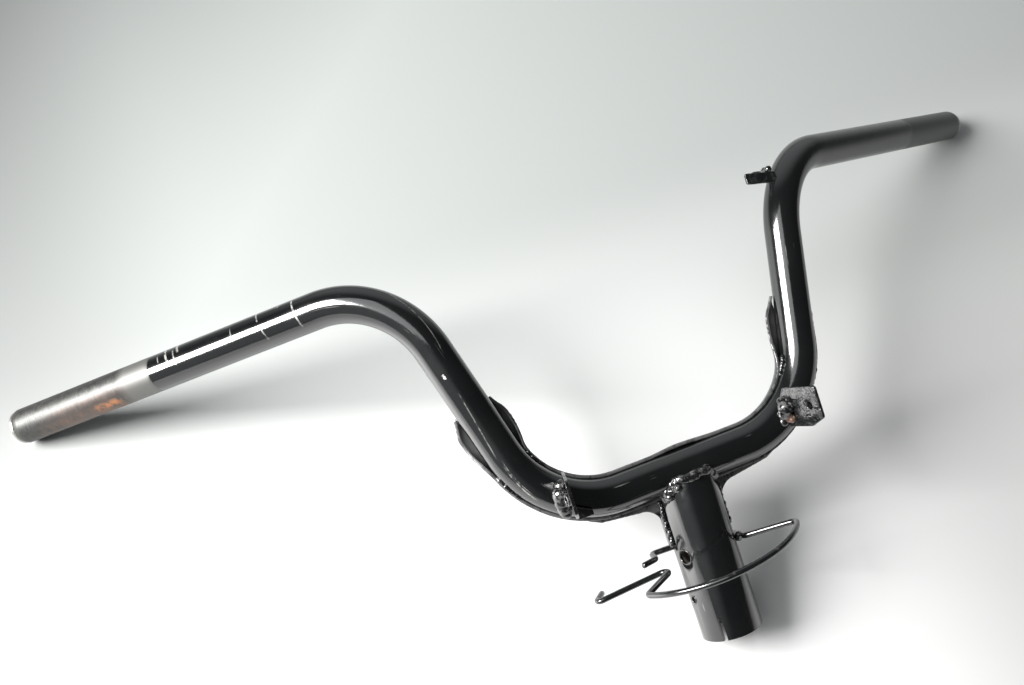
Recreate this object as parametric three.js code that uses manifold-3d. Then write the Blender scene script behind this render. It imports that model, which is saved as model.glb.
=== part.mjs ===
// A scooter handlebar: one bent tube welded on a clamp stem, backed by a pressed gusset, with
// two cover brackets, a harness tab and a wire cable guide. It lies as it rests on a table, on
// its two grip ends and the rear of its stem. Units are millimetres, and +Z is up.
//
// The pieces are drawn upright in the bar's own frame: +X along the base of the bar, +Y to the
// rear, +Z up the stem, with the origin on the bar's centre line. One group lays them down.
import * as THREE from "three";
import { mergeVertices } from "three/addons/utils/BufferGeometryUtils.js";
import Module from "manifold-3d";

const wasm = await Module();
wasm.setup();
const V = (x, y, z) => new THREE.Vector3(x, y, z);
const RAD = Math.PI / 180;

// The bent tube
const BAR_R = 11.1;
const BAR_WALL = 2;
const BASE_HALF = 87.1;
const ARM = V(41.3, 16.6, 157.6);
const GRIP = V(229.2, 127.8, -10.9);
const LOWER_BEND_R = 60.4;
const UPPER_BEND_R = 59.6;
const END_FLANGE = 2.5;
const INSERT_LENGTH = 22;
const INSERT_THREAD_R = 3;

// The clamp stem, a sleeve that is notched to take the bar across its top
const STEM_R = 18.4;
const STEM_BORE_R = 15.4;
const STEM_Y = 3.2;
const STEM_TOP = -5;
const STEM_END = -101.9;
const SLIT_WIDTH = 2.4;
const SLIT_DEPTH = 14;
const SLIT_ANGLE = 38 * RAD;
const BOLT_HOLE_R = 4.2;
const BOLT_HOLE_Z = -49;
const BOLT_ANGLE = 67 * RAD;
const PILOT_HOLE_R = 2.2;
const PILOT_HOLE_Z = -76;
const PILOT_ANGLE = 82 * RAD;

// The pressed gusset behind the bar and the stem
const GAP = 0.3;
const SHEET = 2;
const GUSSET_REACH = 152;
const GUSSET_NOTCH = 16;
const GUSSET_WRAP = 91 * RAD;
const EAR_AT = 136;
const EAR_HALF = 17;
const EAR_RUN_LEFT = 26;
const EAR_RUN_RIGHT = 44;
const EAR_RISE = 5;
const EAR_WRAP = 75 * RAD;
const CROWN_AT = 3;
const CROWN_HALF = 24;
const CROWN_RISE = 1.2;
const TAIL_END = -42;
const TAIL_WRAP = 88 * RAD;
const WEB_Y = 3.8;
const WEB_R = 11;
const WEB_UNDER = -17.3;
const WEB_SHOULDER = [56, -14];
const WEB_TIP = [68, -7.5];

// The cover brackets, the harness tab and the cable guide
const BRACKET_T = 2;
const BRACKET_X = 70.2;
const BRACKET_LEAN = 14.4 * RAD;
const BRACKET_HOLE_R = 2.2;
const BRACKET_COLLAR = 2.4;
const BRACKET_COLLAR_R = 3.7;
const COVER_LUG = 2.2;
const TAB_AT = V(109, 19, 151.6);
const TAB_FRONT = -6;
const TAB_BACK = 2.5;
const TAB_T = 3.6;
const TAB_SLOPE = 0.2;
const TAB_FLANGE_T = 2.4;
const TAB_FLANGE_LEFT = -4.5;
const TAB_FLANGE_LOW = -5.4;
const TAB_HOLE_R = 1.8;
const TAB_COLLAR = 1.7;
const TAB_COLLAR_R = 3.1;
const WIRE_R = 1.8;
const WIRE_WELD_R = 3.4;
const LOOP_R = 52;
const LOOP_X = 0.9;
const LOOP_Y = -2;
const LOOP_Z = -53;
const LOOP_SLOPE = 0.095;
const HOOK_Z = -48;

// ---- closed surfaces and booleans ---------------------------------------------------------

// Joins rings of points, each a closed outline with the same number of points, and caps the
// two ends. The faces are turned outwards by the sign of the volume.
function loft(rings) {
  const n = rings[0].length;
  const last = rings.length - 1;
  const points = rings.flat();
  const tris = [];
  for (let i = 0; i < last; i++) {
    for (let j = 0; j < n; j++) {
      const a = i * n + j;
      const b = i * n + ((j + 1) % n);
      tris.push([a, b, b + n], [a, b + n, a + n]);
    }
  }
  for (const t of flatTriangles(rings[0])) tris.push([t[0], t[2], t[1]]);
  for (const t of flatTriangles(rings[last])) tris.push(t.map((i) => last * n + i));
  const volume = tris.reduce(
    (sum, [a, b, c]) => sum + points[a].dot(points[b].clone().cross(points[c])),
    0,
  );
  if (volume < 0) for (const t of tris) [t[1], t[2]] = [t[2], t[1]];
  const geometry = new THREE.BufferGeometry().setFromPoints(points);
  geometry.setIndex(tris.flat());
  return geometry;
}

// Triangles of one closed outline, found in the plane that the outline lies nearest to.
function flatTriangles(outline) {
  const centre = outline.reduce((s, p) => s.add(p), V(0, 0, 0)).divideScalar(outline.length);
  const normal = V(0, 0, 0);
  outline.forEach((p, i) => {
    const q = outline[(i + 1) % outline.length];
    normal.add(p.clone().sub(centre).cross(q.clone().sub(centre)));
  });
  normal.normalize();
  const u = (Math.abs(normal.x) < 0.9 ? V(1, 0, 0) : V(0, 1, 0)).cross(normal).normalize();
  const v = normal.clone().cross(u);
  const flat = outline.map((p) => new THREE.Vector2(p.dot(u), p.dot(v)));
  return THREE.ShapeUtils.triangulateShape(flat, []);
}

function solid(geometry) {
  const bare = geometry.clone();
  bare.deleteAttribute("normal");
  bare.deleteAttribute("uv");
  const merged = mergeVertices(bare, 1e-4);
  return new wasm.Manifold(
    new wasm.Mesh({
      numProp: 3,
      vertProperties: merged.attributes.position.array,
      triVerts: Uint32Array.from(merged.index.array),
    }),
  );
}

function geometryOf(manifold) {
  const mesh = manifold.getMesh();
  const geometry = new THREE.BufferGeometry();
  geometry.setAttribute("position", new THREE.BufferAttribute(mesh.vertProperties, 3));
  geometry.setIndex(new THREE.BufferAttribute(mesh.triVerts, 1));
  return geometry;
}

const joined = (solids) => solids.reduce((a, b) => a.add(b));

function rod(from, to, radius, sides = 24) {
  const along = to.clone().sub(from);
  const geometry = new THREE.CylinderGeometry(radius, radius, along.length(), sides);
  geometry.applyQuaternion(
    new THREE.Quaternion().setFromUnitVectors(V(0, 1, 0), along.clone().normalize()),
  );
  const centre = from.clone().add(to).multiplyScalar(0.5);
  return solid(geometry.translate(centre.x, centre.y, centre.z));
}

// ---- routes: straight runs joined by arcs --------------------------------------------------

// A route through corners [point, bend radius]. at(s) is the frame at s mm from the start: the
// place p, the direction t and two side directions u and v, carried along without twist.
class Route {
  constructor(corners, side) {
    this.start = corners[0][0];
    this.side = side.clone().normalize();
    this.legs = [];
    let from = this.start;
    for (let i = 1; i < corners.length; i++) {
      const [corner, radius] = corners[i];
      const t = corner.clone().sub(from).normalize();
      if (i === corners.length - 1) {
        this.legs.push({ t, length: corner.distanceTo(from) });
        break;
      }
      const next = corners[i + 1][0].clone().sub(corner).normalize();
      const turn = t.angleTo(next);
      const cut = radius * Math.tan(turn / 2);
      this.legs.push({ t, length: corner.distanceTo(from) - cut });
      const axis = t.clone().cross(next).normalize();
      this.legs.push({ t, axis, radius, length: radius * turn });
      from = corner.clone().addScaledVector(next, cut);
    }
    this.length = this.legs.reduce((sum, leg) => sum + leg.length, 0);
  }

  at(s) {
    const p = this.start.clone();
    const u = this.side.clone();
    let t = this.legs[0].t.clone();
    let left = s;
    for (const [i, leg] of this.legs.entries()) {
      const run = i === this.legs.length - 1 ? left : Math.min(left, leg.length);
      if (leg.axis) {
        const turn = run / leg.radius;
        const inward = leg.axis.clone().cross(t);
        p.addScaledVector(inward, leg.radius * (1 - Math.cos(turn)));
        p.addScaledVector(t, leg.radius * Math.sin(turn));
        t.applyAxisAngle(leg.axis, turn);
        u.applyAxisAngle(leg.axis, turn);
      } else {
        t = leg.t.clone();
        p.addScaledVector(t, run);
      }
      left -= run;
      if (left <= 0) break;
    }
    u.addScaledVector(t, -u.dot(t)).normalize();
    return { p, t, u, v: t.clone().cross(u) };
  }

  // Where to place rings: the ends of each leg, and each arc cut into turns of at most maxTurn.
  stops(maxTurn) {
    const stops = [0];
    for (const leg of this.legs) {
      const pieces = leg.axis ? Math.ceil(leg.length / leg.radius / maxTurn) : 1;
      const from = stops[stops.length - 1];
      for (let i = 1; i <= pieces; i++) stops.push(from + (leg.length * i) / pieces);
    }
    return stops;
  }
}

const circle = ({ p, u, v }, radius, sides) =>
  Array.from({ length: sides }, (_, i) => {
    const a = (2 * Math.PI * i) / sides;
    return p
      .clone()
      .addScaledVector(u, radius * Math.cos(a))
      .addScaledVector(v, radius * Math.sin(a));
  });

const sweep = (frames, radius, sides) => loft(frames.map((f) => circle(f, radius, sides)));

// The right half of the bar's centre line, whose u points to the rear. The left half mirrors it.
const ARM_TOP = V(BASE_HALF, 0, 0).add(ARM);
const GRIP_END = ARM_TOP.clone().add(GRIP);
const HALF_BAR = new Route(
  [
    [V(0, 0, 0), 0],
    [V(BASE_HALF, 0, 0), LOWER_BEND_R],
    [ARM_TOP, UPPER_BEND_R],
    [GRIP_END, 0],
  ],
  V(0, 1, 0),
);

// The bar's frame at s mm from its middle, with s below 0 on the left: u is the rear and low is
// the side that faces away from the space between the arms.
function barAt(s) {
  const { p, t, u, v } = HALF_BAR.at(Math.abs(s));
  const low = v.negate();
  if (s < 0) {
    for (const a of [p, u, low]) a.x = -a.x;
    t.set(t.x, -t.y, -t.z);
  }
  return { p, t, u, v: low };
}

function barFrames(reach, maxTurn) {
  const half = HALF_BAR.stops(maxTurn).filter((s) => s < reach);
  half.push(reach);
  return [...half.slice(1).reverse().map((s) => -s), ...half].map(barAt);
}

// ---- the pieces, in the bar's own frame ------------------------------------------------------

const BAR_TURN = 7.5 * RAD;
const TUBE_REACH = HALF_BAR.length - END_FLANGE;

function handlebarTube() {
  const bore = sweep(barFrames(HALF_BAR.length, BAR_TURN), BAR_R - BAR_WALL, 16);
  return solid(sweep(barFrames(TUBE_REACH, BAR_TURN), BAR_R, 24)).subtract(solid(bore));
}

// What another piece must leave free around the bar and around the stem.
const barRoom = (reach = 200) => solid(sweep(barFrames(reach, 10 * RAD), BAR_R + GAP, 24));
const onStem = (radius, angle, z) =>
  V(-radius * Math.sin(angle), STEM_Y - radius * Math.cos(angle), z);
const stemRod = (radius, low, high) => rod(V(0, STEM_Y, low), V(0, STEM_Y, high), radius, 40);
const stemRoom = () => stemRod(STEM_R + GAP, STEM_END, STEM_TOP + GAP);

function stemTube() {
  const across = onStem(STEM_R + 5, BOLT_ANGLE, BOLT_HOLE_Z);
  const beyond = onStem(STEM_R + 5, BOLT_ANGLE + Math.PI, BOLT_HOLE_Z);
  const slit = new THREE.BoxGeometry(SLIT_WIDTH, 10, 2 * SLIT_DEPTH);
  slit.translate(0, -STEM_R, 0).rotateZ(-SLIT_ANGLE).translate(0, STEM_Y, STEM_END);
  return stemRod(STEM_R, STEM_END, STEM_TOP)
    .subtract(stemRod(STEM_BORE_R, STEM_END - 1, STEM_TOP + 1))
    .subtract(barRoom(60))
    .subtract(rod(across, beyond, BOLT_HOLE_R, 16))
    .subtract(
      rod(
        onStem(STEM_BORE_R - 4, PILOT_ANGLE, PILOT_HOLE_Z),
        onStem(STEM_R + 5, PILOT_ANGLE, PILOT_HOLE_Z),
        PILOT_HOLE_R,
        12,
      ),
    )
    .subtract(solid(slit));
}

// A smooth hump, 1 at the middle and 0 beyond the half width.
const hump = (x, middle, half) =>
  Math.abs(x - middle) < half ? Math.cos((Math.PI / 2) * ((x - middle) / half)) ** 2 : 0;

// An ear's run up from the middle is longer on the right arm.
const earRun = (s) => (s < 0 ? EAR_RUN_LEFT : EAR_RUN_RIGHT);

// How far the sheet stands off the bar at s along it, a radians round from the rear: its edges
// bow out into an ear on each side of each arm, and a little over the middle.
function standOff(s, a) {
  const edge = THREE.MathUtils.smoothstep(Math.abs(a), 45 * RAD, 80 * RAD);
  const half = Math.abs(s) < EAR_AT ? earRun(s) : EAR_HALF;
  const crown = a < 0 ? CROWN_RISE * hump(s, CROWN_AT, CROWN_HALF) : 0;
  return edge * (EAR_RISE * hump(Math.abs(s), EAR_AT, half) + crown);
}

// The sheet's half pipe behind the bar, grown by extra all over for the pieces that clear it.
function gussetBand(extra = 0) {
  const across = 14;
  const along = 20;
  const ring = (f) => {
    const ear = THREE.MathUtils.smoothstep(Math.abs(f) * GUSSET_REACH, EAR_AT - earRun(f), EAR_AT);
    const wrap = THREE.MathUtils.lerp(GUSSET_WRAP, EAR_WRAP, ear) + extra / BAR_R;
    const wall = (off) =>
      Array.from({ length: across + 1 }, (_, j) => {
        const a = wrap * ((2 * j) / across - 1);
        const s = f * (GUSSET_REACH + extra - GUSSET_NOTCH * Math.cos(a) ** 2);
        const r = BAR_R + off + standOff(s, a);
        const { p, u, v } = barAt(s);
        return p.addScaledVector(u, r * Math.cos(a)).addScaledVector(v, r * Math.sin(a));
      });
    return [...wall(GAP + SHEET + extra), ...wall(GAP - extra).reverse()];
  };
  return solid(loft(Array.from({ length: 2 * along + 1 }, (_, i) => ring(i / along - 1))));
}

// The flat web that fills the corner between the bar and the stem, with a concave edge.
function web(side, extra = 0) {
  const inner = STEM_R - 2;
  const corner = STEM_R + GAP + SHEET + extra;
  const under = WEB_UNDER - extra;
  const shape = new THREE.Shape();
  shape.moveTo(inner, WEB_UNDER / 2);
  shape.lineTo(WEB_TIP[0] - 4, WEB_TIP[1] + 2);
  shape.lineTo(WEB_TIP[0] + extra, WEB_TIP[1]);
  shape.lineTo(WEB_SHOULDER[0], WEB_SHOULDER[1] - extra);
  shape.lineTo(corner + WEB_R, under);
  shape.absarc(corner + WEB_R, under - WEB_R, WEB_R, Math.PI / 2, Math.PI, false);
  shape.lineTo(inner, under - WEB_R);
  shape.closePath();
  const depth = SHEET + 2 * extra;
  const geometry = new THREE.ExtrudeGeometry(shape, {
    depth,
    bevelEnabled: false,
    curveSegments: 8,
  });
  geometry.rotateX(Math.PI / 2).translate(0, WEB_Y + SHEET + extra, 0);
  if (side < 0) geometry.rotateZ(Math.PI).translate(0, 2 * WEB_Y + SHEET, 0);
  return solid(geometry);
}

// The half pipe behind the stem, and the shoulder that carries it over to the bar.
function gussetTail(extra = 0) {
  const outer = STEM_R + GAP + SHEET + extra;
  const wrap = TAIL_WRAP + extra / STEM_R;
  const sides = 20;
  const ring = (z) => {
    const wall = (r) =>
      Array.from({ length: sides + 1 }, (_, j) => {
        const a = wrap * ((2 * j) / sides - 1);
        return V(r * Math.sin(a), STEM_Y + r * Math.cos(a), z);
      });
    return [...wall(outer), ...wall(STEM_R + GAP - extra).reverse()];
  };
  const shoulder = new THREE.Shape([
    new THREE.Vector2(8, 8),
    new THREE.Vector2(13, 2),
    new THREE.Vector2(STEM_Y + outer - 0.4, -13),
    new THREE.Vector2(STEM_Y + outer - 0.4, -20),
    new THREE.Vector2(8, -20),
  ]);
  const half = 13 + extra;
  const fill = new THREE.ExtrudeGeometry(shoulder, { depth: 2 * half, bevelEnabled: false });
  fill.rotateX(Math.PI / 2).rotateZ(Math.PI / 2).translate(-half, 0, 0);
  return solid(loft([ring(TAIL_END - extra), ring(STEM_TOP + GAP)])).add(solid(fill));
}

// The whole sheet. Its tail and webs are cut half way into the band, which they join.
function gussetSolid(extra = 0) {
  const along = barFrames(EAR_AT, 10 * RAD);
  const cut = solid(sweep(along, BAR_R + GAP + SHEET / 2, 24));
  const lower = joined([gussetTail(extra), web(1, extra), web(-1, extra)]);
  return gussetBand(extra).add(lower.subtract(cut));
}

const rearGusset = () => gussetSolid().subtract(stemRoom());

// A bracket's plate stands forward off the bar in a plane that leans outwards. Depth runs out
// along the plate from the bar's centre plane, and side is +1 on the right.
const onPlate = (side, depth, z, off = 0) =>
  V(
    side * (BRACKET_X + depth * Math.sin(BRACKET_LEAN)) + off,
    -depth * Math.cos(BRACKET_LEAN),
    z,
  );

function plate(outline, place, thickness) {
  const ring = (off) => outline.map(([a, b]) => place(a, b, off));
  return solid(loft([ring(-thickness / 2), ring(thickness / 2)]));
}

// A corner of an outline cut round: points on a quarter arc from angle a1 to a2.
const corner = (cx, cy, r, a1, a2) =>
  [0, 1, 2, 3].map((i) => {
    const a = a1 + ((a2 - a1) * i) / 3;
    return [cx + r * Math.cos(a), cy + r * Math.sin(a)];
  });

// What a bracket leaves free: the bar, also where it passes a cover's lug that lies flat on the
// plate's right face.
function bracketRoom(side) {
  const [x, y] = [Math.cos(BRACKET_LEAN), side * Math.sin(BRACKET_LEAN)];
  const shifts = [0, COVER_LUG / 2, COVER_LUG];
  return joined(shifts.map((t) => barRoom(120).translate([-t * x, -t * y, 0])));
}

// The plate's screw hole is drawn out into a collar on the side away from the stem.
function coverBracket(side) {
  const outline = [
    [4, 1],
    [25, 0],
    ...corner(34, 5, 3, -Math.PI / 3, 0),
    ...corner(34.2, 21.5, 2.5, 0, Math.PI / 2),
    [10.5, 25],
    [4, 16],
  ];
  const place = (depth, z, off) => onPlate(side, depth, z, off);
  const along = (off) => onPlate(side, 29, 12.6, off);
  const reach = side * (BRACKET_T / 2 + BRACKET_COLLAR);
  const flat = plate(outline, place, BRACKET_T)
    .add(rod(along(0), along(reach), BRACKET_COLLAR_R, 16))
    .subtract(rod(along(-6), along(6), BRACKET_HOLE_R, 16));
  if (side > 0) return flat.subtract(bracketRoom(side));
  const foot = loft([
    [place(8, 4.5, 0), place(8, -4, 0), place(12.5, -4, 0), place(12.5, 4.5, 0)],
    [place(8, -1, 10), place(8, -4, 10), place(12.5, -4, 10), place(12.5, -1, 10)],
  ]);
  return flat.add(solid(foot)).subtract(bracketRoom(side));
}

// A weld bead: a tube of uneven thickness through the points, with rounded ends.
function bead(points, radius, waves = 3) {
  const curve = new THREE.CatmullRomCurve3(points);
  const steps = Math.max(4, Math.round(curve.getLength() / 2.4));
  const frames = curve.computeFrenetFrames(steps, false);
  const rings = Array.from({ length: steps + 1 }, (_, i) => {
    const f = i / steps;
    const end = Math.sqrt(Math.max(0.12, 1 - (2 * f - 1) ** 6));
    const r = radius * end * (1 + 0.08 * Math.sin(2 * Math.PI * waves * f + 1));
    const p = curve.getPointAt(f);
    return circle({ p, u: frames.normals[i], v: frames.binormals[i] }, r, 8);
  });
  return solid(loft(rings));
}

function blob(centre, radius) {
  const geometry = new THREE.IcosahedronGeometry(radius, 2);
  return solid(geometry.translate(centre.x, centre.y, centre.z));
}

// The main bead, laid in overlapping lumps around the front of the saddle, where the bar
// crosses the stem's top.
function saddleWeld() {
  const lumps = [-72, -57, -43, -30, -17, -3, 11, 25, 39, 53, 67].map((degrees, i) => {
    const centre = onStem(STEM_R - 0.4, -degrees * RAD, 0);
    const onBar = Math.sqrt(Math.max(0, BAR_R ** 2 - centre.y ** 2));
    centre.z = -Math.max(-STEM_TOP - 0.6, onBar);
    return blob(centre, i % 2 ? 3.5 : 3.9);
  });
  return joined(lumps)
    .subtract(barRoom(60))
    .subtract(stemRoom())
    .subtract(stemRod(STEM_BORE_R, -20, 5))
    .subtract(gussetSolid(GAP));
}

// The bead down the side of the stem that ties the gusset's tail to it.
function tailWeld(side) {
  const points = [-16, -22, -28, -34, -40].map((z) => onStem(STEM_R + 0.8, -side * 84 * RAD, z));
  return bead(points, 2.1, 3).subtract(stemRoom()).subtract(gussetSolid(GAP));
}

// A stitch along the gusset's edge, on the bar between s = from and s = to.
function edgeWeld(from, to, angle) {
  const points = [0, 0.25, 0.5, 0.75, 1].map((f) => {
    const { p, u, v } = barAt(from + (to - from) * f);
    const r = BAR_R + 0.6;
    return p.addScaledVector(u, r * Math.cos(angle)).addScaledVector(v, r * Math.sin(angle));
  });
  return bead(points, 1.7, 4).subtract(barRoom()).subtract(gussetSolid(GAP));
}

// The lumps that hold a bracket's root, on the left face of its plate.
function bracketWeld(side) {
  const lumps = [
    [10.5, 12, -4.6, 4.1],
    [9.5, 6.5, -5.6, 3.4],
    [8.6, 1.6, -7, 3.1],
    [10, 17.5, -3, 2.6],
  ].map(([depth, z, off, r]) => blob(onPlate(side, depth, z, off), r));
  const beyond = new THREE.BoxGeometry(20, 90, 60);
  beyond.translate(10 - BRACKET_T / 2 - GAP, 0, 12).rotateZ(side * BRACKET_LEAN);
  beyond.translate(side * BRACKET_X, 0, 0);
  return joined(lumps).subtract(solid(beyond)).subtract(barRoom());
}

// The harness tab on the inside of the right upper bend: a small plate with a collar round its
// hole and a flange folded down at the front, grown by extra for the bead that clears it. X
// runs towards the bar.
function tabPlates(extra = 0) {
  const place = (x, y, off) => V(TAB_AT.x + x, TAB_AT.y + y, TAB_AT.z + off - TAB_SLOPE * x);
  const [front, back] = [TAB_FRONT - extra, TAB_BACK + extra];
  const [left, low] = [TAB_FLANGE_LEFT - extra, TAB_FLANGE_LOW - extra];
  const top = TAB_T / 2 + extra;
  const flat = [[-extra, front], [20, front], [20, back], ...corner(2, back - 2, 2, Math.PI / 2, Math.PI)];
  const flange = [
    ...corner(left + 1.5, low + 1.5, 1.5, Math.PI, 1.5 * Math.PI),
    [20, low],
    [20, top],
    ...corner(left + 1.5, top - 1.5, 1.5, Math.PI / 2, Math.PI),
  ];
  const middle = TAB_FRONT + TAB_FLANGE_T / 2;
  const facing = (x, off, y) => place(x, middle + y, off);
  return plate(flat, place, TAB_T + 2 * extra)
    .add(plate(flange, facing, TAB_FLANGE_T + 2 * extra))
    .add(rod(place(6, -0.8, 0), place(6, -0.8, top + TAB_COLLAR), TAB_COLLAR_R + extra, 16))
    .subtract(rod(place(6, -0.8, -5), place(6, -0.8, 8), TAB_HOLE_R, 12));
}

const harnessTab = () => tabPlates().subtract(barRoom(300));

function tabWeld() {
  const points = [-3, -1, 1, 2.5].map((y) => V(TAB_AT.x + 13.6, TAB_AT.y + y, TAB_AT.z - 1));
  return bead(points, 2.6, 2).subtract(tabPlates(GAP)).subtract(barRoom(300));
}

// The cable guide, one bent wire. A short hook on the left leads behind the stem to its right
// side, then a round loop passes in front of the stem and folds back into a long hook.
function guideRoute() {
  const inLoop = (x, y) => V(x, y, LOOP_Z + LOOP_SLOPE * x);
  const turns = 3;
  const from = -29 * RAD;
  const step = (-156 * RAD - from) / turns;
  const loop = Array.from({ length: turns }, (_, i) => {
    const a = from + step * (i + 0.5);
    const r = LOOP_R / Math.cos(step / 2);
    return [inLoop(LOOP_X + r * Math.cos(a), LOOP_Y + r * Math.sin(a)), LOOP_R];
  });
  return new Route(
    [
      [V(-38.5, 8.6, HOOK_Z), 0],
      [V(-29, 12, HOOK_Z), 3],
      [V(-26.5, 25, HOOK_Z), 4],
      [V(22.4, 25, HOOK_Z - 2), 7],
      [inLoop(22, -2.4), 9],
      [inLoop(48.5, -23.3), 4],
      ...loop,
      [inLoop(-49.4, -15.2), 3.5],
      [inLoop(-20.9, 6.5), 4.4],
      [inLoop(-72.4, 15.2), 3],
      [inLoop(-63.5, 26.6), 0],
    ],
    V(0, 0, 1),
  );
}

const guideWire = (radius) => {
  const route = guideRoute();
  return solid(sweep(route.stops(20 * RAD).map((s) => route.at(s)), radius, 8));
};
const cableGuide = () => guideWire(WIRE_R);

// A lump that holds the wire to the stem.
const wireWeld = (centre) =>
  blob(centre, WIRE_WELD_R)
    .subtract(guideWire(WIRE_R + GAP))
    .subtract(stemRoom())
    .subtract(gussetSolid(GAP));

// An end insert fills the tube's end and closes it with a flange, and is tapped for a weight.
function endInsert(side) {
  const at = (back) => barAt(side * (HALF_BAR.length - back)).p;
  const flange = rod(at(END_FLANGE - GAP), at(0), BAR_R - 0.6, 24);
  const plug = rod(at(INSERT_LENGTH), at(END_FLANGE / 2), BAR_R - BAR_WALL - GAP, 16);
  const end = barAt(side * HALF_BAR.length);
  const out = end.p.clone().addScaledVector(end.t, side);
  return flange.add(plug).subtract(rod(at(INSERT_LENGTH + 1), out, INSERT_THREAD_R, 12));
}

// ---- the assembly ----------------------------------------------------------------------------

const finish = (color, roughness, metalness) => ({ color, roughness, metalness });
const BLACK_PAINT = finish(0x0d0e10, 0.22, 0.1);
const PAINTED_SHEET = finish(0x101113, 0.32, 0.1);
const PAINTED_WELD = finish(0x1a1b1d, 0.38, 0.25);
const BLACK_WIRE = finish(0x17161c, 0.25, 0.5);
const BARE_STEEL = finish(0x8d8b86, 0.45, 0.9);

const bar = new THREE.Group();
function add(name, made, look) {
  const mesh = new THREE.Mesh(geometryOf(made), new THREE.MeshStandardMaterial(look));
  mesh.name = name;
  bar.add(mesh);
}

add("handlebar_tube", handlebarTube(), BLACK_PAINT);
add("stem_tube", stemTube(), BLACK_PAINT);
add("rear_gusset", rearGusset(), PAINTED_SHEET);
add("stem_saddle_weld", saddleWeld(), PAINTED_WELD);
for (const [side, hand] of [[-1, "left"], [1, "right"]]) {
  add("end_insert_" + hand, endInsert(side), BARE_STEEL);
  add("cover_bracket_" + hand, coverBracket(side), BLACK_PAINT);
  add("bracket_weld_" + hand, bracketWeld(side), PAINTED_WELD);
  add("gusset_tail_weld_" + hand, tailWeld(side), PAINTED_WELD);
  add("gusset_upper_weld_" + hand, edgeWeld(side * 96, side * 112, -96 * RAD), PAINTED_WELD);
  add("gusset_lower_weld_" + hand, edgeWeld(side * 96, side * 112, 96 * RAD), PAINTED_WELD);
}
add("harness_tab", harnessTab(), PAINTED_SHEET);
add("harness_tab_weld", tabWeld(), PAINTED_WELD);
add("cable_guide", cableGuide(), BLACK_WIRE);
add("guide_weld_left", wireWeld(V(-9, 23, HOOK_Z)), PAINTED_WELD);
add("guide_weld_right", wireWeld(V(20.4, 0.5, HOOK_Z - 2.5)), PAINTED_WELD);

// The lean of the bar as it lies: the grip ends and the stem's rear rim are then equally low.
function restingLean() {
  const lowest = (p, t, radius, lean) => {
    const down = V(0, Math.cos(lean), -Math.sin(lean));
    return p.dot(down) + radius * Math.sqrt(1 - t.dot(down) ** 2);
  };
  const grip = barAt(TUBE_REACH);
  let [low, high] = [0, 60 * RAD];
  for (let i = 0; i < 40; i++) {
    const lean = (low + high) / 2;
    const stem = lowest(V(0, STEM_Y, STEM_END), V(0, 0, 1), STEM_R, lean);
    if (lowest(grip.p, grip.t, BAR_R, lean) > stem) low = lean;
    else high = lean;
  }
  return low;
}

const group = new THREE.Group();
group.add(bar);
bar.rotation.x = restingLean() - 90 * RAD;
group.updateMatrixWorld(true);
const bounds = new THREE.Box3().setFromObject(group, true);
const middle = bounds.getCenter(V(0, 0, 0));
bar.position.set(-middle.x, -middle.y, -bounds.min.z);

export default group;
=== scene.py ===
"""Looks of the scooter handlebar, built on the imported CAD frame."""
import math
import bmesh
import bpy
from mathutils import Matrix, Vector, noise
from mathutils.kdtree import KDTree


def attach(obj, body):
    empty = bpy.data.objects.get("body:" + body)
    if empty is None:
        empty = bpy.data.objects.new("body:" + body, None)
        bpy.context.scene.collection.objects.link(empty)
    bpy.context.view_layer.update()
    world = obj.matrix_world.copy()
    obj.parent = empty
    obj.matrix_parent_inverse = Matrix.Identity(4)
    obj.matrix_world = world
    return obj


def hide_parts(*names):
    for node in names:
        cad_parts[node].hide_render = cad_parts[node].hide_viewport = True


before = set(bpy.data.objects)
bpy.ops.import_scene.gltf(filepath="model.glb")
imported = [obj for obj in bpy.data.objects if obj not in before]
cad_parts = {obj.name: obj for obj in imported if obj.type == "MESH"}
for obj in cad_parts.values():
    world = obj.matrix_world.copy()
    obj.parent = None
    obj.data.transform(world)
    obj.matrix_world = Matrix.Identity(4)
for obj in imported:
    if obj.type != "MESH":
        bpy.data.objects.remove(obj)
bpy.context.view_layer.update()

# ---- the bar's own frame: millimetres, +X along the base, +Y to the rear, +Z up the stem ------

LEAN = math.radians(-61.8939387)
TO_ROW = (
    Matrix.Scale(0.001, 4)
    @ Matrix.Translation((0, -55.3911, 67.6429))
    @ Matrix.Rotation(LEAN, 4, "X")
)

BAR_R = 11.1
BAR_WALL = 2.0
BASE_HALF = 87.1
ARM = Vector((41.3, 16.6, 157.6))
GRIP = Vector((229.2, 127.8, -10.9))
LOWER_BEND_R = 60.4
UPPER_BEND_R = 59.6
END_FLANGE = 2.5

STEM_R = 18.4
STEM_BORE_R = 15.4
STEM_Y = 3.2
STEM_TOP = -5.0
STEM_END = -101.9
SLIT_ANGLE = math.radians(38)
BOLT_ANGLE = math.radians(67)
PILOT_ANGLE = math.radians(82)
BOLT_Z = -49
PILOT_Z = -76
BOLT_HOLE_R = 4.2
PILOT_HOLE_R = 2.2

SHEET_GAP = 0.15
SHEET = 2.0
GUSSET_REACH = 152.0
EAR_AT = 136.0

BRACKET_X = 70.2
BRACKET_LEAN = math.radians(14.4)
BRACKET_HOLE = (29, 12.6)
BRACKET_HOLE_R = 2.2
TAB_AT = Vector((109, 19, 151.6))
TAB_SLOPE = 0.2
TAB_HOLE = (6, -0.8)
TAB_HOLE_R = 1.8
WIRE_R = 1.8
WIRE_SIDES = 24

WELD_VOXEL = 0.35
SHEET_VOXEL = 0.5
TABLE_HALF = 3.0


def smoothstep(x, low, high):
    t = min(1.0, max(0.0, (x - low) / (high - low)))
    return t * t * (3 - 2 * t)


def lerp(a, b, t):
    return a + (b - a) * t


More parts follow.
